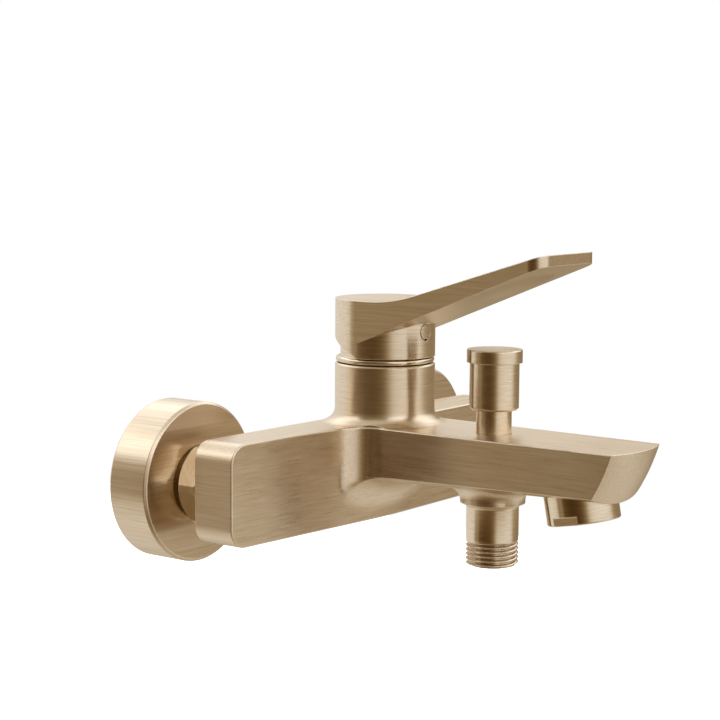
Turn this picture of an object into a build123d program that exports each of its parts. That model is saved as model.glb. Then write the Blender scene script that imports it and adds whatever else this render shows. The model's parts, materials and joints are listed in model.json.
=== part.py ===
from build123d import *

"""Wall mounted bath mixer with a lever handle, a pull-up diverter and a hose outlet.

The origin is on the finished wall, midway between the two threaded wall pipes. +Z is up, X runs along
the bar and the spout points out of the wall along -Y. The bar's inlets sit one connector offset above
the wall pipes, so heights are taken from the inlet axis and distances out are taken from the wall.
"""
from math import asin, atan, cos, degrees, hypot, radians, sin, sqrt
import os

# ---- Driving dimensions, in mm --------------------------------------------------------------------
inlet_spacing = 150.0
connector_offset = 7.5
running = 0.05          # radial play of a turning or sliding fit
seat_play = 0.04        # radial play between two fixed round pieces

pipe_thread = 10.4775   # G1/2 outside radius
union_thread = 13.22    # G3/4 outside radius

cover_radius, cover_depth, cover_wall, cover_edge = 31.67, 18.7, 1.5, 1.0
nut_across_flats, nut_corner, nut_near, nut_far = 30.0, 16.6, 20.0, 31.8

bar_length, bar_height, bar_corner = 186.6, 40.0, 7.6
bar_rear, bar_end_front, bar_nose_front, nose_blend = 32.0, 50.9, 55.3, 240.0
bar_top, bar_bottom = 19.5, -20.5

tower_out, tower_radius, tower_top, tower_floor, tower_flare = 52.9, 20.6, 43.8, 19.0, 5.5

spout_arch = 54.5       # radius of the rounded underside
spout_near, spout_near_half, spout_near_low = 40.0, 21.0, -5.25
spout_far, spout_far_half, spout_far_low = 190.0, 18.0, -0.8
root_blend, edge_break = 14.0, 0.5
tip_plan_radius, tip_side_radius, tip_side_height, tip_reach = 40.9, 85.0, 45.3, 179.8

# Water ways in the body
channel_out, channel_radius, channel_end = 44.0, 4.3, 5.0
port_x, port_out, port_radius = 6.5, 57.9, 2.4                  # the two inlet ports
outlet_out, outlet_radius, outlet_height = 47.7, 3.0, 4.2
spout_way_radius, spout_way_height, spout_way_end = 3.0, 13.0, 146.0
way_step = 0.4          # how much a way is wider than the one that drops into it

# Inlet side: connector, gasket, tail, swivel nut
tail_radius, tail_bore, tail_end, tail_start, tail_seat = 9.6, 7.3, 38.4, 25.0, 47.6
collar_radius, retainer_radius, retainer_low, retainer_high = 10.9, 12.6, 26.4, 28.2
gasket_near, connector_wall_end, connector_swell = 23.0, -18.0, 8.0

# Diverter and hose outlet
diverter_out = 107.1
boss_radius, boss_bottom, boss_blend = 13.0, -8.3, 5.0
lower_seat, seat_bore, valve_thick = -3.0, 5.0, 3.0
chamber_radius, upper_seat, upper_seat_thick, bonnet_foot = 6.4, 9.3, 1.2, 14.0
bonnet_radius, bonnet_top, gland_radius, gland_floor = 7.06, 41.0, 4.6, 20.0
rod_radius, rod_foot, rod_top = 2.5, 2.0, 49.4
knob_radius, sleeve_radius, knob_top, knob_step, sleeve_bottom = 11.05, 9.84, 52.9, 47.8, 29.0
knob_bore, knob_ceiling = 7.5, 42.0
nipple_shank, nipple_end, nipple_bore, nipple_step = 9.0, -33.6, 7.0, -12.0
cage_low, cage_wall = -24.0, 1.0

# Outlet under the spout's tip; heights along its own axis, from the rim
nozzle_out, nozzle_rim, nozzle_tilt, nozzle_radius = 149.6, -10.76, 10.7, 14.3
nozzle_shoulder, nozzle_thread, nozzle_thread_end, nozzle_seal_end = 11.9, 12.6, 17.4, 18.6
nozzle_bore, nozzle_chamber, nozzle_ceiling = 11.4, 8.0, 24.0
flat_half, flat_height = 13.2, 3.3

# Valve cartridge
pivot_height, stem_lean, stem_arm = 50.5, 12.0, 11.5
cartridge_radius, cartridge_shoulder, nut_thread = 17.4, 36.5, 18.4
base_top, fixed_low, fixed_high, moving_high, carrier_high = 24.4, 24.9, 28.9, 32.4, 41.5
moving_radius, carrier_radius, fixed_radius, pocket_radius = 13.0, 10.8, 15.2, 6.8
neck_radius, neck_bore, neck_top, lip_low, lip_bore = 15.2, 13.6, 49.5, 48.0, 12.4
yoke_low, yoke_high, pin_radius, stem_half, stem_end = 42.0, 53.0, 1.5, 3.5, 16.2
ball_radius, ball_neck = 2.9, 2.0

# Trim ring, handle and lever
dome_radius, dome_top, dome_wall = 18.4, 58.0, 1.2
ring_radius, ring_low, ring_belly, ring_high = 20.3, 43.9, 45.3, 46.45
handle_radius, handle_bottom, handle_top, handle_wall = 20.6, 46.7, 70.2, 1.6
handle_ceiling, hub_radius, hub_low, hub_high = 66.5, 8.5, 5.5, 18.0
plug_height, plug_radius, plug_gap, plug_notch = 57.3, 3.1, 0.22, 0.9
scoop_out, scoop_half, scoop_depth = 116.0, 16.5, 1.4
lever_out, lever_corner, lever_blend = 141.0, 6.0, 80.0
underside_slope, underside_height = 0.397, 52.74    # height is above the tower's axis
topside_slope, topside_start = 0.3116, 70.7         # where the sloping top meets the flat one
relief_out, relief_height, relief_slope = 53.7, 46.9, 0.455

# ---- Datum planes ---------------------------------------------------------------------------------
inlet_z = connector_offset
plan = Plane.XY.offset(inlet_z)                                       # local (x, -out)
wall = Plane(origin=(0, 0, inlet_z), x_dir=(1, 0, 0), z_dir=(0, -1, 0))  # local (x, height)
side = Plane(origin=(0, 0, inlet_z), x_dir=(0, -1, 0), z_dir=(-1, 0, 0))  # local (out, height)


def upright(out, lean=0.0, height=0.0, x=0.0):
    """A plane whose normal points up, leaning away from the wall by some degrees."""
    tilt = radians(lean)
    return Plane(origin=(x, -out, inlet_z + height), x_dir=(1, 0, 0), z_dir=(0, -sin(tilt), cos(tilt)))


def facing_out(x, height=0.0):
    """A plane on the wall whose normal points out of the wall, at one inlet or wall pipe."""
    return Plane(origin=(x, 0, inlet_z + height), x_dir=(1, 0, 0), z_dir=(0, -1, 0))


tower = upright(tower_out)
diverter = upright(diverter_out)
pivot = upright(tower_out, stem_lean, pivot_height)
nozzle = upright(nozzle_out, -nozzle_tilt, nozzle_rim)
sides = {"left": -inlet_spacing / 2, "right": inlet_spacing / 2}


def turn(base, *outline, mode=Mode.ADD):
    """Turn an outline of (radius, height) points about the normal of a plane."""
    with BuildSketch(Plane(base.origin, x_dir=base.x_dir, z_dir=-base.y_dir)) as section:
        with BuildLine():
            Polyline(*outline, close=True)
        make_face()
    revolve(section.sketch, axis=Axis(base.origin, base.z_dir), mode=mode)


def tube(base, outer, inner, low, high, mode=Mode.ADD):
    """A plain ring, or a rod when the inner radius is 0."""
    turn(base, (inner, low), (outer, low), (outer, high), (inner, high), mode=mode)


def bore(base, radius, low, high):
    """Cut a round hole along the normal of a plane."""
    tube(base, radius, 0, low, high, mode=Mode.SUBTRACT)


def save(name, piece):
    """Label a finished piece and write it."""
    piece.part.label = name
    export_step(piece.part, f"parts/{name}.step")
    return piece


os.makedirs("parts", exist_ok=True)


# ---- Body: bar, tower, spout and hose boss in one casting -----------------------------------------
def spout_section(out):
    """The spout's upright section: flat top, straight sides and a rounded underside."""
    share = (out - spout_near) / (spout_far - spout_near)
    half = spout_near_half + share * (spout_far_half - spout_near_half)
    low = spout_near_low + share * (spout_far_low - spout_near_low)
    edge = low + spout_arch - sqrt(spout_arch**2 - half**2)
    with BuildSketch(wall.offset(out)) as section:
        with BuildLine():
            Polyline((-half, edge), (-half, bar_top), (half, bar_top), (half, edge))
            ThreePointArc((half, edge), (0, low), (-half, edge))
        make_face()
    return section.sketch


def tip_section(height):
    """What lies beyond the spout's bowed front face, at one height."""
    reach = tip_reach - tip_side_radius + sqrt(tip_side_radius**2 - (tip_side_height - height) ** 2)
    half = spout_near_half + 4
    edge = reach - tip_plan_radius + sqrt(tip_plan_radius**2 - half**2)
    with BuildSketch(plan.offset(height)) as section:
        with BuildLine():
            Polyline((half, -edge), (half, -spout_far - 10), (-half, -spout_far - 10), (-half, -edge))
            ThreePointArc((-half, -edge), (0, -reach), (half, -edge))
        make_face()
    return section.sketch


with BuildPart() as body:
    with BuildSketch(wall.offset(bar_rear)):
        with Locations((0, (bar_top + bar_bottom) / 2)):
            RectangleRounded(bar_length, bar_height, bar_corner)
    extrude(amount=bar_nose_front - bar_rear)
    with BuildSketch(plan.offset(bar_bottom)) as bar_plan:
        with BuildLine():
            end = bar_length / 2 + 1
            Polyline((-end, -bar_rear), (-end, -bar_end_front), (0, -bar_nose_front),
                     (end, -bar_end_front), (end, -bar_rear), close=True)
        make_face()
        fillet(bar_plan.vertices().sort_by(Axis.Y)[0], nose_blend)
    extrude(amount=bar_height, mode=Mode.INTERSECT)
    loft([spout_section(spout_near), spout_section(spout_far)], ruled=True)
    loft([tip_section(h) for h in (bar_top + 1, 9, -6)], mode=Mode.SUBTRACT)
    root = body.edges().filter_by(
        lambda e: bar_end_front < -e.center().Y < bar_nose_front + 0.5
        and abs(e.center().X) < spout_near_half
        and bar_bottom + 1 < e.center().Z - inlet_z < bar_top - 1)
    fillet(root, root_blend)

    # Broken edges: front and rear outlines of the bar
    front_loop = body.edges().filter_by(
        lambda e: bar_end_front - 0.1 < -e.center().Y < bar_nose_front
        and (abs(e.center().X) > bar_length / 2 - bar_corner
             or abs(e.center().Z - inlet_z - bar_bottom) < 0.1))
    fillet(front_loop, edge_break)
    fillet(body.edges().filter_by(lambda e: abs(-e.center().Y - bar_rear) < 0.1), edge_break)
    deck = body.faces().filter_by(Axis.Z).sort_by(Axis.Z)[-1]

    # Hose boss, blended into the rounded underside
    tube(diverter, boss_radius, 0, boss_bottom, bar_top - 5)
    boss_root = body.edges().filter_by(
        lambda e: abs(hypot(e.center().X, e.center().Y + diverter_out) - boss_radius) < 0.1
        and e.center().Z > inlet_z + boss_bottom + 1)
    fillet(boss_root, boss_blend)

    # Valve tower with the flare at its foot, which stops at the deck's outline
    tube(tower, tower_radius, 0, bar_top - 1, tower_top)
    chamfer(body.edges().filter_by(GeomType.CIRCLE).sort_by(Axis.Z)[-1], 0.6)
    column = extrude(deck, amount=tower_flare, mode=Mode.PRIVATE)
    with BuildSketch(Plane(tower.origin, x_dir=(1, 0, 0), z_dir=(0, -1, 0)), mode=Mode.PRIVATE) as flare:
        with BuildLine():
            foot, top = tower_radius + tower_flare, bar_top + tower_flare
            RadiusArc((tower_radius, top), (foot, bar_top), -tower_flare)
            Polyline((foot, bar_top), (tower_radius - 1, bar_top), (tower_radius - 1, top),
                     (tower_radius, top))
        make_face()
    ring = revolve(flare.sketch, axis=Axis(tower.origin, (0, 0, 1)), mode=Mode.PRIVATE)
    add(column & ring)

    # Tower bore and its threaded mouth
    bore(tower, cartridge_radius + running, tower_floor, tower_top + 1)
    bore(tower, nut_thread + seat_play, cartridge_shoulder - 0.2, tower_top + 1)

    # Hot and cold ways: inlet bore, run along the bar, run forward and riser to the tower's floor
    for sign, x in ((1, sides["left"]), (-1, sides["right"])):
        bore(facing_out(x), tail_radius + seat_play, bar_rear - 1, tail_seat)
        run = Plane(origin=(x, -channel_out, inlet_z), x_dir=(0, 1, 0), z_dir=(sign, 0, 0))
        bore(run, channel_radius, 0, inlet_spacing / 2 - channel_end)
        bore(facing_out(-sign * port_x), port_radius + way_step, channel_out,
             port_out + port_radius + way_step)
        bore(upright(port_out, x=-sign * port_x), port_radius, 0, tower_floor + 1)

    # Mixed water: down from the tower, forward to the diverter, and on to the outlet under the tip
    bore(upright(outlet_out), outlet_radius, outlet_height, tower_floor + 1)
    bore(facing_out(0, outlet_height), outlet_radius + way_step, outlet_out - outlet_radius - way_step,
         diverter_out)
    bore(diverter, chamber_radius, lower_seat, bonnet_foot + 1)
    bore(diverter, bonnet_radius + seat_play, bonnet_foot, bar_top + 1)
    bore(diverter, nipple_shank + seat_play, boss_bottom - 1, lower_seat)
    bore(facing_out(0, spout_way_height), spout_way_radius, diverter_out, spout_way_end)
    bore(nozzle, nozzle_radius + 0.1, 0, nozzle_shoulder + 0.1)
    bore(nozzle, nozzle_thread + seat_play, nozzle_shoulder, nozzle_seal_end)
    bore(nozzle, nozzle_chamber, nozzle_shoulder, nozzle_ceiling)
save("body", body)


# ---- Wall side: one set at each inlet --------------------------------------------------------------
for name, x in sides.items():
    inlet = facing_out(x)
    pipe = facing_out(x, -connector_offset)

    with BuildPart() as cover:
        turn(inlet, (cover_radius - cover_wall, 0), (cover_radius, 0),
             (cover_radius, cover_depth - cover_edge), (cover_radius - cover_edge, cover_depth),
             (union_thread + 0.4, cover_depth), (union_thread + 0.4, cover_depth - cover_wall),
             (cover_radius - cover_wall, cover_depth - cover_wall))
    save(f"escutcheon_{name}", cover)

    with BuildPart() as connector:
        tube(pipe, pipe_thread, 0, connector_wall_end, 0)
        with BuildSketch(pipe):
            Circle(pipe_thread + 1)
        with BuildSketch(inlet.offset(connector_swell)):
            Circle(union_thread)
        loft()
        tube(inlet, union_thread, 0, connector_swell, gasket_near)
        chamfer(connector.edges().filter_by(GeomType.CIRCLE).sort_by(Axis.Y)[0], 0.8)
        bore(pipe, tail_bore, connector_wall_end - 1, 0)
        with BuildSketch(pipe):
            Circle(tail_bore)
        with BuildSketch(inlet.offset(connector_swell)):
            Circle(tail_bore)
        loft(mode=Mode.SUBTRACT)
        bore(inlet, tail_bore, connector_swell, gasket_near + 1)
    save(f"eccentric_connector_{name}", connector)

    with BuildPart() as nut:
        with BuildSketch(inlet.offset(nut_near)):
            RegularPolygon(nut_across_flats / 2, 6, major_radius=False)
        extrude(amount=nut_far - nut_near)
        face_radius, bevel = nut_across_flats / 2 - 0.5, 2.0
        turn(inlet, (0, nut_near), (face_radius, nut_near), (nut_corner, nut_near + bevel),
             (nut_corner, nut_far - bevel), (face_radius, nut_far), (0, nut_far), mode=Mode.INTERSECT)
        bore(inlet, union_thread + seat_play, nut_near - 1, retainer_high + 0.2)
        bore(inlet, collar_radius + 0.2, nut_near - 1, nut_far + 1)
    save(f"union_nut_{name}", nut)

    with BuildPart() as tail:
        turn(inlet, (tail_bore, tail_start), (collar_radius, tail_start), (collar_radius, retainer_low),
             (tail_radius, retainer_low), (tail_radius, retainer_high), (collar_radius, retainer_high),
             (collar_radius, bar_rear - 0.05), (tail_radius, bar_rear - 0.05), (tail_radius, tail_end),
             (tail_bore, tail_end))
    save(f"inlet_tail_{name}", tail)

    with BuildPart() as retainer:
        tube(inlet, retainer_radius, tail_radius + seat_play, retainer_low + 0.1, retainer_high - 0.1)
        with BuildSketch(inlet.offset(retainer_low)):
            with Locations((0, -retainer_radius)):
                Rectangle(4, 2 * (retainer_radius - tail_radius + 1))
        extrude(amount=retainer_high - retainer_low, mode=Mode.SUBTRACT)
    save(f"nut_retainer_{name}", retainer)

    with BuildPart() as gasket:
        tube(inlet, retainer_radius, tail_bore + 0.7, gasket_near + seat_play, tail_start - seat_play)
    save(f"inlet_gasket_{name}", gasket)


# ---- Valve cartridge in the tower ------------------------------------------------------------------
lean_shift = stem_arm * sin(radians(stem_lean))   # how far the closed lever pushes the disc to the wall
shifted = upright(tower_out - lean_shift)
ports = ((port_x, port_out, port_radius), (-port_x, port_out, port_radius), (0, outlet_out, outlet_radius))
seal_width, seal_depth = 1.3, 1.0

with BuildPart() as port_seals:
    for x, out, radius in ports:
        tube(upright(out, x=x), radius + seal_width, radius + 0.1, tower_floor + 0.02,
             tower_floor + seal_depth)
save("port_seals", port_seals)

with BuildPart() as cartridge_base:
    tube(tower, cartridge_radius, 0, tower_floor + seat_play, base_top)
    for x, out, radius in ports:
        bore(upright(out, x=x), radius, tower_floor, base_top + 1)
        bore(upright(out, x=x), radius + seal_width + 0.05, tower_floor, tower_floor + seal_depth + 0.02)
save("cartridge_base", cartridge_base)

with BuildPart() as disc_gasket:
    tube(tower, fixed_radius, 0, base_top + 0.01, fixed_low - 0.01)
    for x, out, radius in ports:
        bore(upright(out, x=x), radius, base_top, fixed_low)
save("disc_gasket", disc_gasket)

with BuildPart() as fixed_disc:
    tube(tower, fixed_radius, 0, fixed_low, fixed_high)
    for x, out, radius in ports:
        bore(upright(out, x=x), radius, fixed_low - 1, fixed_high + 1)
save("fixed_disc", fixed_disc)

with BuildPart() as moving_disc:
    tube(shifted, moving_radius, 0, fixed_high + 0.02, moving_high)
    bore(shifted, pocket_radius, fixed_high, moving_high - 1.2)
save("moving_disc", moving_disc)

with BuildPart() as disc_carrier:
    tube(shifted, carrier_radius, 0, moving_high + 0.02, carrier_high)
    bore(shifted, ball_radius + 0.3, moving_high + 3.5, carrier_high + 1)
save("disc_carrier", disc_carrier)

with BuildPart() as cartridge_housing:
    wide_bore, shelf = fixed_radius + 0.5, cartridge_shoulder - 1.6
    turn(tower, (wide_bore, base_top + 0.02), (cartridge_radius, base_top + 0.02),
         (cartridge_radius, cartridge_shoulder - 0.3), (neck_radius, cartridge_shoulder - 0.3),
         (neck_radius, neck_top), (lip_bore, neck_top), (lip_bore, lip_low), (neck_bore, lip_low),
         (neck_bore, shelf), (wide_bore, shelf))
save("cartridge_housing", cartridge_housing)

with BuildPart() as cartridge_nut:
    tube(tower, nut_thread, neck_radius + 0.1, cartridge_shoulder, tower_top - 0.3)
    tube(tower, dome_radius - dome_wall - seat_play, neck_radius + 0.1, tower_top - 0.3, neck_top - 1.5)
    with BuildSketch(plan.offset(neck_top - 3.5)):
        with Locations((0, -tower_out)):
            with PolarLocations(dome_radius - dome_wall, 6):
                Rectangle(1.6, 2.4)
    extrude(amount=3, mode=Mode.SUBTRACT)
save("cartridge_nut", cartridge_nut)

with BuildPart() as trim_ring:
    dome_rise, inner = dome_top - pivot_height, dome_radius - dome_wall
    dome_edge = sqrt(dome_radius**2 - dome_rise**2)
    inner_edge = sqrt(inner**2 - dome_rise**2)
    bead_middle, bead_top = ring_radius - (ring_belly - ring_low), ring_high - ring_belly
    with BuildSketch(Plane(tower.origin, x_dir=(1, 0, 0), z_dir=(0, -1, 0))) as ring_section:
        with BuildLine():
            Polyline((inner, pivot_height), (inner, ring_low), (bead_middle, ring_low))
            CenterArc((bead_middle, ring_belly), ring_belly - ring_low, -90, 90)
            CenterArc((ring_radius - bead_top, ring_belly), bead_top, 0, 90)
            Polyline((ring_radius - bead_top, ring_high), (dome_radius, ring_high),
                     (dome_radius, pivot_height))
            CenterArc((0, pivot_height), dome_radius, 0, degrees(asin(dome_rise / dome_radius)))
            Line((dome_edge, dome_top), (inner_edge, dome_top))
            CenterArc((0, pivot_height), inner, 0, degrees(asin(dome_rise / inner)))
        make_face()
    revolve(axis=Axis(tower.origin, (0, 0, 1)))
save("trim_ring", trim_ring)

with BuildPart() as stem_yoke:
    turn(tower, (0, yoke_low), (neck_bore - running, yoke_low), (neck_bore - running, lip_low - 0.1),
         (lip_bore - running, lip_low - 0.1), (lip_bore - running, yoke_high), (0, yoke_high))
    with BuildSketch(plan.offset(yoke_low)):
        with Locations((0, -tower_out)):
            SlotOverall(15, 2 * stem_half + 0.3, rotation=90)
    extrude(amount=yoke_high - yoke_low, mode=Mode.SUBTRACT)
    pin_line = Plane(origin=(0, -tower_out, inlet_z + pivot_height), x_dir=(0, 1, 0), z_dir=(1, 0, 0))
    bore(pin_line, pin_radius + seat_play, -lip_bore, lip_bore)
save("stem_yoke", stem_yoke)

with BuildPart() as pivot_pin:
    tube(pin_line, pin_radius, 0, -lip_bore + 1, lip_bore - 1)
save("pivot_pin", pivot_pin)

with BuildPart() as cartridge_stem:
    with BuildSketch(pivot.offset(-stem_half - 1)):
        Rectangle(2 * stem_half, 2 * stem_half)
    extrude(amount=stem_end + stem_half + 1)
    tube(pivot, ball_neck, 0, -stem_arm, -stem_half)
    with Locations((pivot * Location((0, 0, -stem_arm)))):
        Sphere(ball_radius)
    bore(pin_line, pin_radius + running, -lip_bore, lip_bore)
save("cartridge_stem", cartridge_stem)


# ---- Handle: skirt, lever with a thumb scoop, hub on the stem --------------------------------------
def underside(out):
    """Height of the lever's sloping underside, before the scoop."""
    return underside_height + underside_slope * (out - tower_out)


def topside(out):
    """Height of the lever's sloping top."""
    return handle_top + topside_slope * (out - topside_start)


def notch(start):
    """Cut the slot at the plug's foot, by which the plug is prised out."""
    with BuildSketch(facing_out(0, plug_height - plug_radius).offset(start)) as slot:
        SlotOverall(2.2 * plug_notch, plug_notch)
    extrude(slot.sketch, amount=2 * handle_radius, mode=Mode.SUBTRACT)


with BuildPart() as handle:
    with BuildSketch(plan.offset(handle_bottom)) as lever_plan:
        with BuildLine():
            Polyline((-handle_radius, -tower_out), (-handle_radius, -lever_out),
                     (handle_radius, -lever_out), (handle_radius, -tower_out))
            ThreePointArc((handle_radius, -tower_out), (0, -tower_out + handle_radius),
                          (-handle_radius, -tower_out))
        make_face()
        fillet(lever_plan.vertices().sort_by(Axis.Y)[:2], lever_corner)
    extrude(amount=2 * (handle_top - handle_bottom) + 5)
    with BuildSketch(side) as lever_side:
        with BuildLine():
            behind, beyond = tower_out - handle_radius - 1, lever_out + 1
            Polyline((behind, underside_height), (tower_out, underside_height),
                     (beyond, underside(beyond)), (beyond, topside(beyond)),
                     (topside_start, handle_top), (behind, handle_top), close=True)
        make_face()
        fillet(lever_side.vertices().filter_by(lambda v: abs(v.X - topside_start) < 0.1), lever_blend)
    extrude(amount=handle_radius + 1, both=True, mode=Mode.INTERSECT)
    tube(tower, handle_radius, 0, handle_bottom, handle_top - 6)
    with BuildSketch(side):
        with BuildLine():
            drop = handle_bottom - 1
            Polyline((relief_out, drop), (relief_out, relief_height),
                     (behind, relief_height + relief_slope * (relief_out - behind)), (behind, drop),
                     close=True)
        make_face()
    extrude(amount=handle_radius + 1, both=True, mode=Mode.SUBTRACT)

    # Thumb scoop: a shallow cap of a large sphere
    scoop_radius = (scoop_half**2 + scoop_depth**2) / (2 * scoop_depth)
    slope = atan(underside_slope)
    reach = scoop_radius - scoop_depth
    scoop_drop = underside(scoop_out) - reach * cos(slope)
    with Locations((0, -scoop_out - reach * sin(slope), inlet_z + scoop_drop)):
        Sphere(scoop_radius, mode=Mode.SUBTRACT)

    # Hollow skirt with the hub that grips the stem
    bore(tower, handle_radius - handle_wall, handle_bottom - 1, handle_ceiling)
    tube(pivot, hub_radius, 0, hub_low, hub_high)
    with BuildSketch(pivot.offset(hub_low - 1)):
        Rectangle(2 * stem_half + 0.08, 2 * stem_half + 0.08)
    extrude(amount=stem_end + 0.2 - hub_low + 1, mode=Mode.SUBTRACT)
    front = facing_out(0, plug_height)
    bore(front, rod_radius + seat_play, tower_out + stem_half, tower_out + hub_radius + 4)
    bore(front, plug_radius + plug_gap, tower_out + hub_radius + 4, tower_out + handle_radius + 1)
    notch(tower_out + hub_radius + 4)
save("handle", handle)

with BuildPart() as handle_screw:
    tube(front, rod_radius, 0, tower_out + stem_half + 2.3, tower_out + hub_radius + 1)
    with BuildSketch(front.offset(tower_out + hub_radius - 1.5)):
        RegularPolygon(1.25, 6, major_radius=False)
    extrude(amount=4, mode=Mode.SUBTRACT)
save("handle_screw", handle_screw)

with BuildPart() as handle_plug:
    tube(tower, handle_radius + 0.1, handle_radius - handle_wall + 0.1, plug_height - 5, plug_height + 5)
    tube(front, plug_radius, 0, tower_out, tower_out + 2 * handle_radius, mode=Mode.INTERSECT)
    notch(tower_out)
save("handle_plug", handle_plug)


# ---- Diverter: knob and rod lift a valve between the spout way and the hose outlet -----------------
def coil(base, radius, wire, low, high, turns):
    """A round-wire compression spring between two heights over a plane."""
    rise = high - low - wire
    with BuildLine(base.offset(low + wire / 2)) as path:
        Helix(rise / turns, rise, radius)
    with BuildSketch(Plane(origin=path.line @ 0, z_dir=path.line % 0)) as section:
        Circle(wire / 2)
    sweep(section.sketch, path=path.line, is_frenet=True)


with BuildPart() as diverter_bonnet:
    tube(diverter, bonnet_radius, 0, bonnet_foot, bonnet_top)
    bore(diverter, rod_radius + running, bonnet_foot - 1, gland_floor + 1)
    bore(diverter, gland_radius, gland_floor, bonnet_top + 1)
save("diverter_bonnet", diverter_bonnet)

with BuildPart() as diverter_seals:
    for level in (gland_floor + 0.05, gland_floor + 2.2):
        tube(diverter, gland_radius - 0.02, rod_radius + 0.02, level, level + 2.05)
save("diverter_seals", diverter_seals)

with BuildPart() as gland_bush:
    tube(diverter, gland_radius - seat_play, rod_radius + running, gland_floor + 4.4, bonnet_top - 0.5)
save("gland_bush", gland_bush)

with BuildPart() as upper_seat_ring:
    tube(diverter, chamber_radius - seat_play, 4.6, upper_seat, upper_seat + upper_seat_thick)
save("upper_seat", upper_seat_ring)

with BuildPart() as diverter_rod:
    tube(diverter, rod_radius, 0, 0.05, rod_top)
    tube(diverter, rod_foot, 0, -valve_thick + 0.9, 0.05)
save("diverter_rod", diverter_rod)

with BuildPart() as diverter_valve:
    tube(diverter, chamber_radius - 0.6, 0, lower_seat + 0.02, lower_seat + valve_thick)
    bore(diverter, rod_foot + seat_play, -valve_thick + 0.85, 1)
save("diverter_valve", diverter_valve)

with BuildPart() as diverter_knob:
    turn(diverter, (knob_bore, sleeve_bottom), (sleeve_radius - 0.8, sleeve_bottom),
         (sleeve_radius, sleeve_bottom + 0.8), (sleeve_radius, knob_step), (knob_radius, knob_step),
         (knob_radius, knob_top), (0, knob_top), (0, rod_top + 0.1),
         (rod_radius + seat_play, rod_top + 0.1), (rod_radius + seat_play, knob_ceiling),
         (knob_bore, knob_ceiling))
    fillet(diverter_knob.edges().filter_by(GeomType.CIRCLE).sort_by(Axis.Z)[-1], 0.4)
save("diverter_knob", diverter_knob)

with BuildPart() as diverter_spring:
    coil(diverter, 3.6, 0.8, 0.1, bonnet_foot - 0.1, 6)
save("diverter_spring", diverter_spring)


# ---- Hose outlet: threaded nipple with a check valve -----------------------------------------------
thread_start, cone_foot, seal_height = -9.5, 12.4, 1.0
web_high = nipple_step - 0.1
web_low = web_high - 1.5
spider_high = cage_low + 1.6

with BuildPart() as hose_nipple:
    tube(diverter, nipple_shank, 0, boss_bottom - 0.2, lower_seat - seal_height - seat_play)
    turn(diverter, (0, boss_bottom - 0.02), (cone_foot, boss_bottom - 0.02), (pipe_thread, thread_start),
         (pipe_thread, nipple_end + 1), (pipe_thread - 1, nipple_end), (0, nipple_end))
    bore(diverter, seat_bore, nipple_step - 1, 0)
    bore(diverter, nipple_bore, nipple_end - 1, nipple_step)
save("hose_nipple", hose_nipple)

with BuildPart() as nipple_seal:
    tube(diverter, nipple_shank, seat_bore, lower_seat - seal_height, lower_seat - 0.02)
save("nipple_seal", nipple_seal)

with BuildPart() as check_valve_cage:
    tube(diverter, nipple_bore - seat_play, nipple_bore - seat_play - cage_wall, cage_low, web_high)
    tube(diverter, nipple_bore - 0.5, 3.4, web_low, web_high)
    tube(diverter, nipple_bore - 0.5, 1.05, cage_low, spider_high)
    with BuildSketch(diverter.offset(cage_low)):
        with PolarLocations(3.7, 4):
            Circle(1.3)
    extrude(amount=spider_high - cage_low, mode=Mode.SUBTRACT)
save("check_valve_cage", check_valve_cage)

with BuildPart() as check_valve_poppet:
    tube(diverter, 4.6, 0, web_low - 1.5, web_low - 0.04)
    tube(diverter, 1.0, 0, cage_low + 0.5, web_low - 1)
save("check_valve_poppet", check_valve_poppet)

with BuildPart() as check_valve_spring:
    coil(diverter, 2.2, 0.5, spider_high + 0.02, web_low - 1.55, 5)
save("check_valve_spring", check_valve_spring)


# ---- Spout nozzle ----------------------------------------------------------------------------------
insert_low, insert_high, screen_low = 1.2, 5.0, 15.0
cell_pitch, cell_radius = 1.55, 1.2

with BuildPart() as aerator_housing:
    turn(nozzle, (0, 0), (nozzle_radius - 0.4, 0), (nozzle_radius, 0.4),
         (nozzle_radius, nozzle_shoulder - 0.05), (nozzle_thread, nozzle_shoulder - 0.05),
         (nozzle_thread, nozzle_thread_end), (0, nozzle_thread_end))
    for sign in (-1, 1):
        with BuildSketch(nozzle):
            with Locations((sign * (flat_half + 2), 0)):
                Rectangle(4, 3 * nozzle_radius)
        extrude(amount=flat_height, mode=Mode.SUBTRACT)
    bore(nozzle, nozzle_bore, -1, screen_low)
    bore(nozzle, nozzle_bore - 1.2, 0, nozzle_thread_end + 1)
save("aerator_housing", aerator_housing)

with BuildPart() as aerator_insert:
    tube(nozzle, nozzle_bore - seat_play, 0, insert_low, insert_high)
    with BuildSketch(nozzle.offset(insert_low)):
        with HexLocations(cell_pitch, 6, 6) as cells:
            kept = [c for c in cells.local_locations if c.position.length < nozzle_bore - 2]
        with Locations(kept):
            RegularPolygon(cell_radius, 6, rotation=30)
    extrude(amount=insert_high - insert_low, mode=Mode.SUBTRACT)
save("aerator_insert", aerator_insert)

with BuildPart() as aerator_screen:
    tube(nozzle, nozzle_bore - seat_play, 0, screen_low - 0.65, screen_low - 0.05)
    with BuildSketch(nozzle.offset(screen_low - 1)):
        with PolarLocations(5.5, 12):
            Circle(1.0)
        with PolarLocations(2.6, 6):
            Circle(0.8)
    extrude(amount=2, mode=Mode.SUBTRACT)
save("aerator_screen", aerator_screen)

with BuildPart() as aerator_seal:
    tube(nozzle, nozzle_thread, nozzle_bore - 2.2, nozzle_thread_end + 0.02, nozzle_seal_end - 0.05)
save("aerator_seal", aerator_seal)
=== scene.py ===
"""Wall mounted bath faucet in brushed champagne gold, in a white studio."""

import json
import math

import bpy
import bmesh
from mathutils import Matrix, Vector


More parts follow.
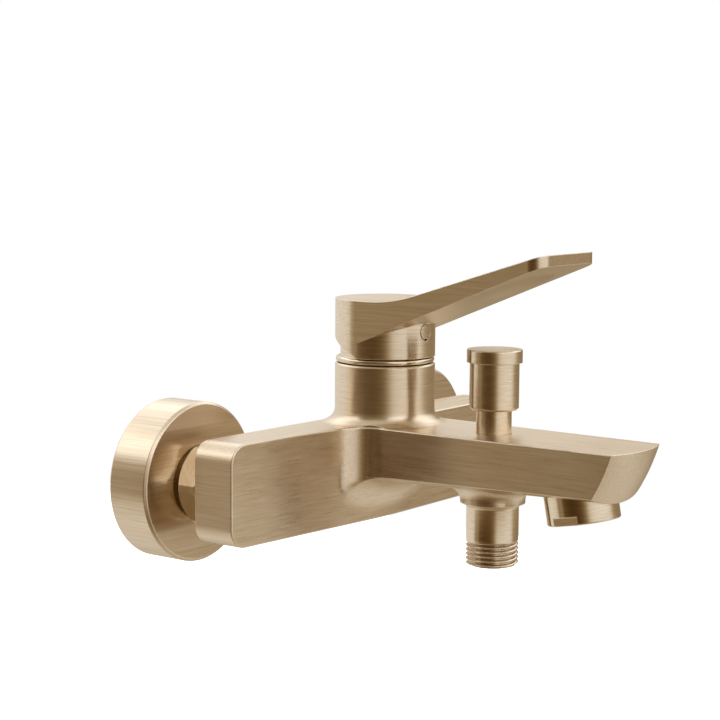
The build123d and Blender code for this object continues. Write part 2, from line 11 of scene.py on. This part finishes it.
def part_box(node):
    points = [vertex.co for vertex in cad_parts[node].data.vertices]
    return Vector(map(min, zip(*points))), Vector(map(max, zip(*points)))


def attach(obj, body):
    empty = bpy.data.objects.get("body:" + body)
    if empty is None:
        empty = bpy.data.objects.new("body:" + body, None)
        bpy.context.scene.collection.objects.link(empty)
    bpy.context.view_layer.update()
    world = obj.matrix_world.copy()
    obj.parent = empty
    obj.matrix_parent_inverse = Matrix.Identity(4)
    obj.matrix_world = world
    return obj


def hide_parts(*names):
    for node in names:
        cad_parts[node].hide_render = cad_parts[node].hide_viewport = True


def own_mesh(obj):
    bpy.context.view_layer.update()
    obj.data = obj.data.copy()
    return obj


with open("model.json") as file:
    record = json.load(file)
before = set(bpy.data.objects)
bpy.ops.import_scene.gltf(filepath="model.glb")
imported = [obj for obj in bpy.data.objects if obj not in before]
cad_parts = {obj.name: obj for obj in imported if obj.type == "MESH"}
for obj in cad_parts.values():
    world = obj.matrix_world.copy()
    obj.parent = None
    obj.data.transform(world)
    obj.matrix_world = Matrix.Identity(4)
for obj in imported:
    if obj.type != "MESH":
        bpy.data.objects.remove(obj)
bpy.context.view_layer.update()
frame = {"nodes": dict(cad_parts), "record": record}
nodes = frame["nodes"]


def centre(node):
    low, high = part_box(node)
    return (Vector(low) + Vector(high)) / 2


# ---- Where things are, from the CAD boxes ---------------------------------------------------------
nut_axis = {side: centre(f"union_nut_{side}") for side in ("left", "right")}
tower_axis = centre("trim_ring")
knob_axis = centre("diverter_knob")
nipple_low, nipple_high = (Vector(v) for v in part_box("hose_nipple"))
nozzle_mid = centre("aerator_housing")
UPRIGHT = (0, 0, 1)

# ---- Camera, fitted to the photo by the known sizes ---------------------------------------------------
CAMERA_PLACE = (-0.64324, -0.53595, 0.1452)
FOCAL_LENGTH, SENSOR_WIDTH = 98.24, 36          # mm
yaw, pitch, roll = math.radians(-52.36), math.radians(-6.62), math.radians(0.38)
forward = Vector((-math.sin(yaw) * math.cos(pitch), math.cos(yaw) * math.cos(pitch), math.sin(pitch)))
level = Vector((math.cos(yaw), math.sin(yaw), 0))
above = level.cross(forward)
right = level * math.cos(roll) + above * math.sin(roll)
up = above * math.cos(roll) - level * math.sin(roll)
camera = bpy.data.objects.new("camera", bpy.data.cameras.new("camera"))
bpy.context.collection.objects.link(camera)
turn = Matrix((right, up, -forward)).transposed().to_4x4()
camera.matrix_world = Matrix.Translation(CAMERA_PLACE) @ turn
camera.data.sensor_width = SENSOR_WIDTH
camera.data.lens = FOCAL_LENGTH
bpy.context.scene.camera = camera


# ---- Shader building ----------------------------------------------------------------------------------
class Shader:
    """A short way to wire up one material's nodes."""

    def __init__(self, name):
        self.material = bpy.data.materials.new(name)
        self.material.use_nodes = True
        self.tree = self.material.node_tree
        self.tree.nodes.clear()
        self.output = self.tree.nodes.new("ShaderNodeOutputMaterial")

    def node(self, kind, inputs=None, **settings):
        made = self.tree.nodes.new("ShaderNode" + kind)
        for key, value in settings.items():
            setattr(made, key, value)
        for key, value in (inputs or {}).items():
            self.put(made.inputs[key], value)
        return made

    def put(self, socket, value):
        if isinstance(value, bpy.types.NodeSocket):
            self.tree.links.new(value, socket)
        else:
            socket.default_value = value

    def math(self, operation, a, b=0.0, c=0.0, clamp=False):
        made = self.node("Math", operation=operation, use_clamp=clamp)
        for socket, value in zip(made.inputs, (a, b, c)):
            self.put(socket, value)
        return made.outputs[0]

    def vector(self, operation, a, b=(0, 0, 0)):
        made = self.node("VectorMath", operation=operation)
        self.put(made.inputs[0], a)
        self.put(made.inputs[1], b)
        return made.outputs[0]

    def mix(self, factor, a, b):
        made = self.node("Mix", data_type="RGBA")
        for key, value in ((0, factor), (6, a), (7, b)):
            self.put(made.inputs[key], value)
        return made.outputs[2]

    def ramp(self, value, low, high, to_low=0.0, to_high=1.0):
        made = self.node("MapRange", {0: value, 1: low, 2: high, 3: to_low, 4: to_high})
        return made.outputs[0]

    def noise(self, vector, scale, detail=2.0, roughness=0.5):
        made = self.node("TexNoise", {"Vector": vector, "Scale": scale, "Detail": detail,
                                      "Roughness": roughness})
        return made.outputs["Fac"]


def around(shader, point, origin, axis):
    """Height along an axis, distance from it, and the unit vector out from it."""
    offset = shader.vector("SUBTRACT", point, origin)
    dot = shader.node("VectorMath", operation="DOT_PRODUCT")
    shader.put(dot.inputs[0], offset)
    shader.put(dot.inputs[1], axis)
    height = dot.outputs["Value"]
    scaled = shader.node("VectorMath", operation="SCALE")
    scaled.inputs[0].default_value = axis
    shader.put(scaled.inputs["Scale"], height)
    out = shader.vector("SUBTRACT", offset, scaled.outputs[0])
    length = shader.node("VectorMath", operation="LENGTH")
    shader.put(length.inputs[0], out)
    unit = shader.node("VectorMath", operation="NORMALIZE")
    shader.put(unit.inputs[0], out)
    return height, length.outputs["Value"], unit.outputs[0]


# ---- Brushed gold -----------------------------------------------------------------------------------
FINE = 2100.0                   # brush lines across the grain, per metre
LONG = 42.0                     # and along it
COARSE_SCALE = 0.45             # of the broader lines that the fine ones lie on
COARSE_SHARE = 0.35             # of the broader lines in the mix
ROUND_LENGTH = 2.2              # changes along a turned line, per radian
LEAN = 0.02                     # keeps the grain's direction off a face's normal


def straight_grain(shader, point, direction):
    """Streaks that run along X or Y, and the direction they run in."""
    scale = [FINE] * 3
    scale["XYZ".index(direction)] = LONG
    stretched = shader.vector("MULTIPLY", point, scale)
    broadened = shader.vector("MULTIPLY", point, [s * COARSE_SCALE for s in scale])
    fine = shader.math("MULTIPLY", shader.noise(stretched, 1.0), 1 - COARSE_SHARE)
    streaks = shader.math("MULTIPLY_ADD", shader.noise(broadened, 1.0, 1.0), COARSE_SHARE, fine)
    tangent = {"X": (1, 0, LEAN), "Y": (0, 1, LEAN)}[direction]
    return streaks, tangent


def round_grain(shader, point, origin, axis):
    """Turned streaks that run round an axis, and the direction they run in."""
    height, radius, unit = around(shader, point, origin, axis)
    scaled = shader.node("VectorMath", operation="SCALE")
    scaled.inputs[0].default_value = axis
    shader.put(scaled.inputs["Scale"], shader.math("MULTIPLY", height, FINE))
    place = shader.vector("ADD", scaled.outputs[0], shader.vector("MULTIPLY", unit, [ROUND_LENGTH] * 3))
    noise = shader.node("TexNoise", {"Vector": place, "W": shader.math("MULTIPLY", radius, FINE),
                                     "Scale": 1.0, "Detail": 1.5, "Roughness": 0.5},
                        noise_dimensions="4D")
    run = shader.vector("CROSS_PRODUCT", unit, axis)
    streaks = shader.math("MULTIPLY_ADD", noise.outputs["Fac"], 0.6, 0.2)
    return streaks, run


def to_world(shader, vector):
    turned = shader.node("VectorTransform", {"Vector": vector}, vector_type="VECTOR",
                         convert_from="OBJECT", convert_to="WORLD")
    return turned.outputs[0]


GOLD = (0.755, 0.64, 0.495, 1.0)
GOLD_DEEP = (0.64, 0.52, 0.375, 1.0)
# Lighter edge colour: partly wear, partly a painted highlight.
GOLD_WEAR_AND_HIGHLIGHT = (0.9, 0.82, 0.68, 1.0)
# Painted shade for crevices and gaps.
CREVICE_SHADE = (0.004, 0.003, 0.002, 1.0)
EDGE_RADIUS = 0.0006            # of the softened edges, and of their lighter colour, partly wear and partly a painted highlight
PAINTED_SHADE_REACH = 0.0016              # how far the painted shade of a crevice spreads
CLOUD_SCALE = 28.0              # cloudy unevenness, per metre
LINE_DEPTH = 0.00003            # of the brush lines


def finish_gold(shader, streaks, tangent, roughness=0.23, anisotropy=0.6):
    """Brushed champagne gold: streaks in colour, gloss and relief, edges lighter from wear and a painted
    highlight, and painted shade in crevices.
    """
    point = shader.node("TexCoord").outputs["Object"]
    cloud = shader.noise(point, CLOUD_SCALE, 3.0, 0.55)
    tint = shader.math("MULTIPLY_ADD", streaks, 0.85, shader.math("MULTIPLY", cloud, 0.15), clamp=True)
    colour = shader.mix(shader.ramp(tint, 0.38, 0.62), GOLD_DEEP, GOLD)
    rounded = shader.node("Bevel", {"Radius": EDGE_RADIUS}, samples=6)
    true_normal = shader.node("NewGeometry").outputs["True Normal"]
    facing = shader.node("VectorMath", operation="DOT_PRODUCT")
    shader.put(facing.inputs[0], rounded.outputs[0])
    shader.put(facing.inputs[1], true_normal)
    # Edges turn lighter: partly wear, partly a painted highlight standing in for bright edge lines.
    wear_and_highlight = shader.ramp(facing.outputs["Value"], 0.99, 0.85)
    colour = shader.mix(shader.math("MULTIPLY", wear_and_highlight, 0.7, clamp=True), colour, GOLD_WEAR_AND_HIGHLIGHT)
    # Painted shade: the colour goes nearly black where ambient occlusion finds surfaces close by.
    open_sky = shader.node("AmbientOcclusion", {"Distance": PAINTED_SHADE_REACH}, samples=6).outputs["AO"]
    colour = shader.mix(shader.ramp(open_sky, 0.48, 0.2), colour, CREVICE_SHADE)
    gloss = shader.ramp(streaks, 0.25, 0.75, roughness - 0.025, roughness + 0.035)
    gloss = shader.math("MULTIPLY_ADD", cloud, 0.03, gloss)
    bump = shader.node("Bump", {"Strength": 0.05, "Distance": LINE_DEPTH, "Height": streaks,
                                "Normal": rounded.outputs[0]})
    metal = shader.node("BsdfPrincipled", {"Base Color": colour, "Metallic": 1.0, "Roughness": gloss,
                                           "Anisotropic": anisotropy, "Anisotropic Rotation": 0.25,
                                           "Normal": bump.outputs[0], "Tangent": to_world(shader, tangent)})
    shader.put(shader.output.inputs["Surface"], metal.outputs[0])
    return shader.material


def turned_gold(name, origin, axis=UPRIGHT, **settings):
    """Gold turned on a lathe: grain round an axis."""
    shader = Shader(name)
    point = shader.node("TexCoord").outputs["Object"]
    streaks, run = round_grain(shader, point, origin, axis)
    return finish_gold(shader, streaks, run, **settings)


def blend_grain(shader, mask, a, b):
    """Change from one grain to another where a mask goes from 0 to 1."""
    streaks = shader.node("Mix", {0: mask, 2: a[0], 3: b[0]}, data_type="FLOAT").outputs[0]
    run = shader.node("Mix", {0: mask, 4: a[1], 5: b[1]}, data_type="VECTOR").outputs[1]
    return streaks, run


def cover_gold(name):
    """An escutcheon: grain along its axis on the rim and level across its face."""
    shader = Shader(name)
    point = shader.node("TexCoord").outputs["Object"]
    normal = shader.node("SeparateXYZ", {0: shader.node("TexCoord").outputs["Normal"]})
    on_face = shader.ramp(shader.math("ABSOLUTE", normal.outputs["Y"]), 0.6, 0.8)
    rim, face = straight_grain(shader, point, "Y"), straight_grain(shader, point, "X")
    return finish_gold(shader, *blend_grain(shader, on_face, rim, face), anisotropy=0.3)


# Where the casting's grain changes, in metres: each change is gradual, from the first value to the second.
SPOUT_ROOT = (-0.058, -0.066)       # Y, from the bar's grain to the spout's
BAR_END = (0.080, 0.084)            # distance from the middle, on faces that look sideways
TOWER_FOOT = (0.0272, 0.0290)       # Z
BOSS_RIM = (0.0185, 0.0165)         # distance from the knob's axis
BOSS_TOP = (0.0035, 0.0020)         # Z, the boss is on the underside only


def body_gold():
    """The casting: grain along the bar, along the spout, and round the tower and the hose boss."""
    shader = Shader("gold_body")
    point = shader.node("TexCoord").outputs["Object"]
    parts = shader.node("SeparateXYZ", {0: point})
    normal = shader.node("SeparateXYZ", {0: shader.node("TexCoord").outputs["Normal"]})
    along_bar = straight_grain(shader, point, "X")
    outward = straight_grain(shader, point, "Y")
    tower = round_grain(shader, point, (tower_axis.x, tower_axis.y, 0), UPRIGHT)
    knob_line = (knob_axis.x, knob_axis.y, 0)
    boss = round_grain(shader, point, knob_line, UPRIGHT)
    on_spout = shader.ramp(parts.outputs["Y"], *SPOUT_ROOT)
    grain = blend_grain(shader, on_spout, along_bar, outward)
    sideways = shader.ramp(shader.math("ABSOLUTE", normal.outputs["X"]), 0.75, 0.9)
    past_end = shader.ramp(shader.math("ABSOLUTE", parts.outputs["X"]), *BAR_END)
    grain = blend_grain(shader, shader.math("MULTIPLY", sideways, past_end), grain, outward)
    grain = blend_grain(shader, shader.ramp(parts.outputs["Z"], *TOWER_FOOT), grain, tower)
    from_knob_line = around(shader, point, knob_line, UPRIGHT)[1]
    near_boss = shader.math("MULTIPLY", shader.ramp(from_knob_line, *BOSS_RIM),
                            shader.ramp(parts.outputs["Z"], *BOSS_TOP))
    grain = blend_grain(shader, near_boss, grain, boss)
    return finish_gold(shader, *grain, roughness=0.27, anisotropy=0.7)


# The line where the lever's straight grain meets the skirt's round one, in metres.
LEVER_LINE = 0.06024                # Z at the tower's axis
LEVER_SLOPE = 0.397                 # its rise further out


def handle_gold():
    """Grain along the lever, and round the skirt below it. The lever's underside is nearly plain."""
    shader = Shader("gold_handle")
    point = shader.node("TexCoord").outputs["Object"]
    parts = shader.node("SeparateXYZ", {0: point})
    lever = straight_grain(shader, point, "Y")
    skirt = round_grain(shader, point, (tower_axis.x, tower_axis.y, 0), UPRIGHT)
    out = shader.math("SUBTRACT", tower_axis.y, parts.outputs["Y"])
    line = shader.math("MULTIPLY_ADD", shader.math("MAXIMUM", out, 0.0), LEVER_SLOPE, LEVER_LINE)
    below = shader.ramp(shader.math("SUBTRACT", parts.outputs["Z"], line), 0.0001, -0.0001)
    streaks, run = blend_grain(shader, below, lever, skirt)
    normal = shader.node("SeparateXYZ", {0: shader.node("TexCoord").outputs["Normal"]})
    underneath = shader.ramp(normal.outputs["Z"], -0.6, -0.85)
    streaks = shader.node("Mix", {0: underneath, 2: streaks, 3: 0.5}, data_type="FLOAT").outputs[0]
    return finish_gold(shader, streaks, run)


# ---- Finishes ------------------------------------------------------------------------------------------
def assign(names, material):
    for name in names:
        if not nodes[name].data.materials:
            nodes[name].data.materials.append(material)
        for slot in nodes[name].material_slots:
            slot.material = material


def plain(name, colour, other, roughness, metallic=0.0):
    """Rubber, plastic, ceramic, brass or steel, with a fine mottle in colour, gloss and relief."""
    shader = Shader(name)
    point = shader.node("TexCoord").outputs["Object"]
    mottle = shader.noise(point, MOTTLE_SCALE, 4.0, 0.6)
    wear = shader.noise(point, MOTTLE_SCALE * 0.12)
    shade = shader.math("MULTIPLY_ADD", mottle, 0.5, shader.math("MULTIPLY", wear, 0.5))
    colour = shader.mix(shader.ramp(shade, 0.3, 0.7), (*other, 1), (*colour, 1))
    rough = shader.ramp(mottle, 0.2, 0.8, roughness - 0.07, roughness + 0.07)
    relief = shader.node("Bump", {"Strength": 0.15, "Distance": MOTTLE_DEPTH, "Height": mottle})
    surface = shader.node("BsdfPrincipled", {"Base Color": colour, "Roughness": rough, "Metallic": metallic,
                                             "Normal": relief.outputs[0]})
    shader.put(shader.output.inputs["Surface"], surface.outputs[0])
    return shader.material


MOTTLE_SCALE = 400.0                # mottles on the pieces without gold, per metre
MOTTLE_DEPTH = 0.00005
OUT_OF_WALL = (0, -1, 0)
nozzle_tilt = math.radians(10.7)
nozzle_axis = (0, math.sin(nozzle_tilt), math.cos(nozzle_tilt))

assign(["body"], body_gold())
for side in ("left", "right"):
    assign([f"escutcheon_{side}"], cover_gold(f"gold_cover_{side}"))
    nut_gold = turned_gold(f"gold_nut_{side}", tuple(nut_axis[side]), OUT_OF_WALL, roughness=0.16)
    assign([f"union_nut_{side}"], nut_gold)
assign(["trim_ring"], turned_gold("gold_ring", tuple(tower_axis), roughness=0.14))
assign(["diverter_knob", "diverter_bonnet"], turned_gold("gold_knob", tuple(knob_axis)))
assign(["aerator_housing"], turned_gold("gold_nozzle", tuple(nozzle_mid), nozzle_axis, roughness=0.13))
assign(["handle", "handle_plug"], handle_gold())

finishes = {
    "connector_brass": plain("brass_connector", (0.62, 0.46, 0.22), (0.5, 0.36, 0.16), 0.32, 1.0),
    "brass": plain("brass_machined", (0.66, 0.5, 0.25), (0.56, 0.41, 0.19), 0.25, 1.0),
    "rubber": plain("black_rubber", (0.022, 0.022, 0.024), (0.012, 0.012, 0.013), 0.62),
    "ceramic": plain("lapped_ceramic", (0.8, 0.79, 0.75), (0.74, 0.73, 0.69), 0.15),
    "plastic": plain("moulded_plastic", (0.66, 0.66, 0.65), (0.58, 0.58, 0.57), 0.42),
    "steel": plain("stainless_steel", (0.56, 0.56, 0.56), (0.45, 0.45, 0.46), 0.28, 1.0),
}
for part in frame["record"]["subparts"]:
    if part["material_slot"] in finishes:
        assign([part["node"]], finishes[part["material_slot"]])


# ---- Pieces whose shape is better than the CAD's ---------------------------------------------------
def ring_surface(name, rings, closed):
    """A smooth surface through rings of points, which either closes on itself or is capped at both ends."""
    mesh = bmesh.new()
    loops = [[mesh.verts.new(point) for point in ring] for ring in rings]
    for first, second in zip(loops, loops[1:] + (loops[:1] if closed else [])):
        for step in range(len(first)):
            following = (step + 1) % len(first)
            mesh.faces.new((first[step], second[step], second[following], first[following]))
    if not closed:
        mesh.faces.new(loops[0])
        mesh.faces.new(list(reversed(loops[-1])))
    bmesh.ops.recalc_face_normals(mesh, faces=mesh.faces)
    data = bpy.data.meshes.new(name)
    mesh.to_mesh(data)
    mesh.free()
    for face in data.polygons:
        face.use_smooth = True
    data.set_sharp_from_angle(angle=math.radians(50))
    piece = bpy.data.objects.new(name, data)
    bpy.context.collection.objects.link(piece)
    return piece


# The hose nipple with its real helical thread, G1/2.
PITCH = 0.001814
THREAD_RADIUS = 0.0104775           # to the crests
THREAD_DEPTH = 0.00116
THREAD_LENGTH = 0.0105
CREST_SHAPE = 0.8                   # under 1 makes the crests broader than the roots
RUN_OUT = 0.6                       # turns over which the groove fades out at the top
CHAMFER_RISE, CHAMFER_DEPTH = 0.0008, 0.0011
COLLAR_HEIGHT = 0.0252              # all heights are from the nipple's foot
BORE_RADIUS, BORE_DEPTH = 0.0070, 0.0216
INLET_RADIUS = 0.0050
SPIGOT_RADIUS = 0.0090
TURN_STEPS = 128                    # points round each ring
THREAD_STEPS = 100                  # rings along the thread


def thread_radius(height, angle, top, bottom):
    """Radius of a rounded pipe thread at one height and angle, running out at its top end."""
    phase = ((height - bottom) / PITCH - angle / (2 * math.pi)) % 1.0
    wave = 0.5 + 0.5 * math.cos(2 * math.pi * phase)
    groove = THREAD_DEPTH * (1 - wave ** CREST_SHAPE)
    fade_top = min(max((top - height) / (PITCH * RUN_OUT), 0.0), 1.0)
    fade_bottom = min(max((height - bottom) / CHAMFER_RISE, 0.0), 1.0)
    return THREAD_RADIUS - groove * fade_top - (1 - fade_bottom) * CHAMFER_DEPTH


def threaded_nipple():
    """The nipple as one surface of rings, from its inlet over its collar and thread and up its bore."""
    x, y = knob_axis.x, knob_axis.y
    bottom = nipple_low.z
    shoulder = nipple_high.z
    top = bottom + THREAD_LENGTH
    collar = bottom + COLLAR_HEIGHT
    outside = [(INLET_RADIUS, shoulder), (SPIGOT_RADIUS, shoulder), (SPIGOT_RADIUS, collar + 0.0001),
               (0.01235, collar + 0.0001), (0.0124, collar - 0.0001), (0.01215, collar - 0.00028),
               (0.0108, collar - 0.00105), (0.01055, collar - 0.00125), (THREAD_RADIUS, collar - 0.0016),
               (THREAD_RADIUS, top + 0.0004)]
    thread = [(None, top - (top - bottom) * step / THREAD_STEPS) for step in range(THREAD_STEPS + 1)]
    inside = [(0.0086, bottom), (BORE_RADIUS + 0.0003, bottom), (BORE_RADIUS, bottom + 0.0003),
              (BORE_RADIUS, bottom + BORE_DEPTH), (INLET_RADIUS, bottom + BORE_DEPTH)]
    rings = []
    for radius, height in outside + thread + inside:
        ring = []
        for step in range(TURN_STEPS):
            angle = 2 * math.pi * step / TURN_STEPS
            reach = radius or thread_radius(height, angle, top, bottom)
            ring.append((x + reach * math.cos(angle), y + reach * math.sin(angle), height))
        rings.append(ring)
    piece = ring_surface("threaded_nipple", rings, True)
    piece.data.materials.append(turned_gold("gold_nipple", (x, y, 0), roughness=0.16))
    return piece


nipple = threaded_nipple()
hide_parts("hose_nipple")
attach(nipple, "tap")


# Springs, built as round-wire coils.
COIL_STEPS = 32                     # rings to a turn
WIRE_STEPS = 10                     # points round the wire


def coil_spring(name, node, wire, turns):
    """A round-wire spring in place of a CAD one."""
    low, high = (Vector(v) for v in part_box(node))
    middle = (low + high) / 2
    radius = (high.x - low.x - wire) / 2
    steps = COIL_STEPS * turns
    rings = []
    for step in range(steps + 1):
        angle = 2 * math.pi * turns * step / steps
        out = Vector((math.cos(angle), math.sin(angle), 0))
        height = low.z + wire / 2 + (high.z - low.z - wire) * step / steps
        core = Vector((middle.x, middle.y, height)) + out * radius
        ring = []
        for point in range(WIRE_STEPS):
            around_wire = 2 * math.pi * point / WIRE_STEPS
            offset = out * math.cos(around_wire) + Vector((0, 0, math.sin(around_wire)))
            ring.append(core + offset * wire / 2)
        rings.append(ring)
    piece = ring_surface(name, rings, False)
    piece.data.materials.append(finishes["steel"])
    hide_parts(node)
    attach(piece, "tap")
    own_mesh(piece)


coil_spring("diverter_coil", "diverter_spring", wire=0.0008, turns=6)
coil_spring("check_valve_coil", "check_valve_spring", wire=0.0005, turns=5)


# ---- Studio -----------------------------------------------------------------------------------------
# Brightness of the room at each listed bearing in degrees. 0 is behind the camera, and bearings
# grow towards its right. A ring is the brightness at one height, and the sky blends from ring to ring.
# Heights are sines of the angle above the horizon.
LEVEL_RING = {-180: 0.64, -176: 0.7, -150: 0.9, -125: 0.96, -99: 0.93, -88: 0.72, -79: 0.33, -71: 0.36,
              -64: 0.16, -50: 0.1, -25: 0.09, -10: 0.14, 0: 0.25, 8: 0.48, 15: 0.74, 24: 0.9, 45: 0.95,
              74: 0.96, 85: 0.88, 94: 0.66, 104: 0.44, 118: 0.36, 140: 0.34, 163: 0.34, 170: 0.4,
              175: 0.54, 180: 0.64}
HIGH_RING = {-180: 1.0, -150: 1.0, -120: 0.92, -97: 0.75, -86: 0.5, -75: 0.42, -50: 0.3, -25: 0.3, 0: 0.5,
             25: 1.1, 50: 1.6, 95: 1.6, 130: 1.1, 155: 0.7, 168: 0.6, 176: 0.85, 180: 1.0}
TOP_RING = {-180: 1.7, -80: 1.7, -68: 0.9, -58: 0.3, -45: 0.18, -5: 0.25, 8: 0.8, 18: 1.6, 40: 1.7,
            110: 1.7, 180: 1.7}
LOW_RING = {-180: 0.18, -155: 0.75, -120: 0.88, -90: 0.82, -60: 0.5, -30: 0.28, 0: 0.25, 30: 0.32,
            60: 0.55, 85: 0.78, 105: 0.82, 130: 0.78, 158: 0.55, 180: 0.18}
ZENITH, NADIR = 0.8, 0.6
GREEN_POWER, BLUE_POWER = 0.26, 0.74        # dim light turns warmer


def studio():
    """A sky with soft boxes and dark flags for the metal to mirror, which the camera sees as white."""
    world = bpy.data.worlds.new("studio")
    bpy.context.scene.world = world
    world.use_nodes = True
    tree = world.node_tree
    tree.nodes.clear()

    def node(kind, *inputs, **settings):
        """A node, with its first sockets linked or set."""
        made = tree.nodes.new("ShaderNode" + kind)
        for key, value in settings.items():
            setattr(made, key, value)
        for socket, value in zip(made.inputs, inputs):
            if isinstance(value, bpy.types.NodeSocket):
                tree.links.new(value, socket)
            else:
                socket.default_value = value
        return made

    def dot(direction):
        return node("VectorMath", direction_in, direction, operation="DOT_PRODUCT").outputs["Value"]

    def ring_of_light(levels):
        """Brightness all the way round the room. A curve stops at 1, so it holds half the brightness."""
        curve = node("FloatCurve")
        tree.links.new(share, curve.inputs["Value"])
        points = curve.mapping.curves[0].points
        for bearing, brightness in levels.items():
            place = (bearing + 180) / 360
            if abs(bearing) == 180:
                points[0 if bearing < 0 else -1].location = (place, brightness / 2)
            else:
                points.new(place, brightness / 2)
        curve.mapping.update()
        return node("Math", curve.outputs[0], 2.0, operation="MULTIPLY").outputs[0]

    def blended(low, high, first, second):
        """Change from one brightness to another where the height goes from low to high."""
        share_up = node("MapRange", rise, low, high).outputs[0]
        made = node("Mix", data_type="FLOAT")
        tree.links.new(share_up, made.inputs[0])
        tree.links.new(first, made.inputs[2])
        if isinstance(second, bpy.types.NodeSocket):
            tree.links.new(second, made.inputs[3])
        else:
            made.inputs[3].default_value = second
        return made.outputs[0]

    direction_in = node("TexCoord").outputs["Generated"]
    rise = dot((0, 0, 1))
    behind_camera = -Vector((forward.x, forward.y, 0)).normalized()
    bearing_in = node("Math", dot(tuple(level)), dot(tuple(behind_camera)), operation="ARCTAN2").outputs[0]
    share = node("MapRange", bearing_in, -math.pi, math.pi).outputs[0]
    bright = ring_of_light(LEVEL_RING)
    bright = blended(0.10, 0.26, bright, ring_of_light(HIGH_RING))
    bright = blended(0.34, 0.46, bright, ring_of_light(TOP_RING))
    bright = blended(0.62, 0.84, bright, ZENITH)
    bright = blended(-0.24, -0.5, bright, ring_of_light(LOW_RING))
    bright = blended(-0.75, -0.97, bright, NADIR)
    dim = node("Math", bright, 1.0, operation="MINIMUM").outputs[0]
    green = node("Math", dim, GREEN_POWER, operation="POWER").outputs[0]
    blue = node("Math", dim, BLUE_POWER, operation="POWER").outputs[0]
    tone = node("CombineColor", 1.0, green, blue).outputs[0]
    glow = node("Background", tone, bright).outputs[0]
    seen = node("Background", (1, 1, 1, 1)).outputs[0]
    is_camera = node("LightPath").outputs["Is Camera Ray"]
    choose = node("MixShader", is_camera, glow, seen).outputs[0]
    node("OutputWorld", choose)


FLOOR_LEVEL, FLOOR_REACH = -0.75, 3.0


def pale_floor():
    """A white floor far below, which isn't mirrored in the metal."""
    reach = FLOOR_REACH
    corners = [(-reach, -reach), (reach, -reach), (reach, reach), (-reach, reach)]
    mesh = bpy.data.meshes.new("floor")
    mesh.from_pydata([(x, y, FLOOR_LEVEL) for x, y in corners], [], [(0, 1, 2, 3)])
    floor = bpy.data.objects.new("floor", mesh)
    bpy.context.collection.objects.link(floor)
    pale = Shader("pale_floor")
    grain = pale.noise(pale.node("TexCoord").outputs["Object"], 60.0, 3.0)
    colour = pale.mix(grain, (0.93, 0.93, 0.925, 1), (0.96, 0.96, 0.955, 1))
    paint = pale.node("BsdfPrincipled", {"Base Color": colour, "Roughness": 0.9})
    light = pale.node("Emission", {"Color": (1, 1, 1, 1), "Strength": 0.5})
    both = pale.node("AddShader", {0: paint.outputs[0], 1: light.outputs[0]})
    pale.put(pale.output.inputs["Surface"], both.outputs[0])
    mesh.materials.append(pale.material)
    floor.visible_glossy = False
    return floor


studio()
floor = pale_floor()

bpy.context.scene.view_settings.view_transform = "Standard"
